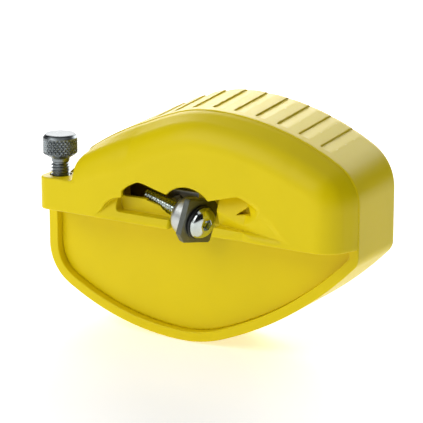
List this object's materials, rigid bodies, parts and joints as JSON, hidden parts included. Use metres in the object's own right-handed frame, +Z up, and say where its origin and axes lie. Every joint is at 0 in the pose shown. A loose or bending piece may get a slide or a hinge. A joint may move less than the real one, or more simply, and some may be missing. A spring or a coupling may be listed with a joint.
{
  "type": "ski sidewall planer",
  "caption": "Hand planer that rides along a ski edge and shaves the sidewall with a clamped hexagonal blade; a knurled screw sets the cutting depth.",
  "frame": {"origin": "mid-width of the housing, on the corner where the base guide plane meets the edge guide plane", "axes": "+X along the ski, to the right seen from the blade side; +Y from the guide plane back into the grip; +Z up, away from the base guide rim's lower end"},
  "size_m": [0.1066, 0.0381, 0.0742],
  "materials": {
    "shell_plastic": "satin moulded yellow",
    "front_plastic": "satin moulded yellow",
    "insert_brass": "turned",
    "foot_nylon": "moulded",
    "knurled_steel": "diamond knurled head, plated",
    "holder_steel": "turned and polished",
    "blade_carbide": "ground",
    "washer_steel": "dark",
    "screw_chrome": "polished",
    "zinc_steel": "zinc plated"
  },
  "bodies": {
    "housing": {"rear_shell": "shell_plastic", "front_body": "front_plastic", "thread_insert": "insert_brass", "blade_holder": "holder_steel", "housing_screw_1": "zinc_steel", "housing_screw_2": "zinc_steel", "housing_screw_3": "zinc_steel", "housing_screw_4": "zinc_steel", "holder_screw_1": "zinc_steel", "holder_screw_2": "zinc_steel"},
    "stop_foot": {"depth_foot": "foot_nylon"},
    "stop_screw": {"depth_screw": "knurled_steel"},
    "blade": {"blade": "blade_carbide"},
    "washer": {"blade_washer": "washer_steel"},
    "clamp_screw": {"blade_screw": "screw_chrome"}
  },
  "joints": [
    {"name": "depth_foot_slide", "type": "slide", "parent": "housing", "child": "stop_foot", "axis": [0, 0, 1], "range_m": [-0.002, 0.003]},
    {"name": "depth_screw_turn", "type": "hinge", "parent": "stop_foot", "child": "stop_screw", "pos_m": [-0.0458, -0.004, 0], "axis": [0, 0, 1], "range_deg": [-721, 1081]},
    {"name": "blade_index", "type": "hinge", "parent": "housing", "child": "blade", "pos_m": [0.0049, -0.0068, 0.0031], "axis": [0.9505, -0.2609, -0.1685], "continuous": true},
    {"name": "washer_slide", "type": "slide", "parent": "housing", "child": "washer", "axis": [0.9505, -0.2609, -0.1685], "range_m": [0, 0.0014]},
    {"name": "blade_screw_turn", "type": "hinge", "parent": "washer", "child": "clamp_screw", "pos_m": [0.0049, -0.0068, 0.0031], "axis": [0.9505, -0.2609, -0.1685], "range_deg": [-1, 721]}
  ],
  "couplings": [
    {"joint": "depth_screw_turn", "follows": "depth_foot_slide", "rad_per_m": 6283.2},
    {"joint": "blade_screw_turn", "follows": "washer_slide", "rad_per_m": 8976}
  ]
}
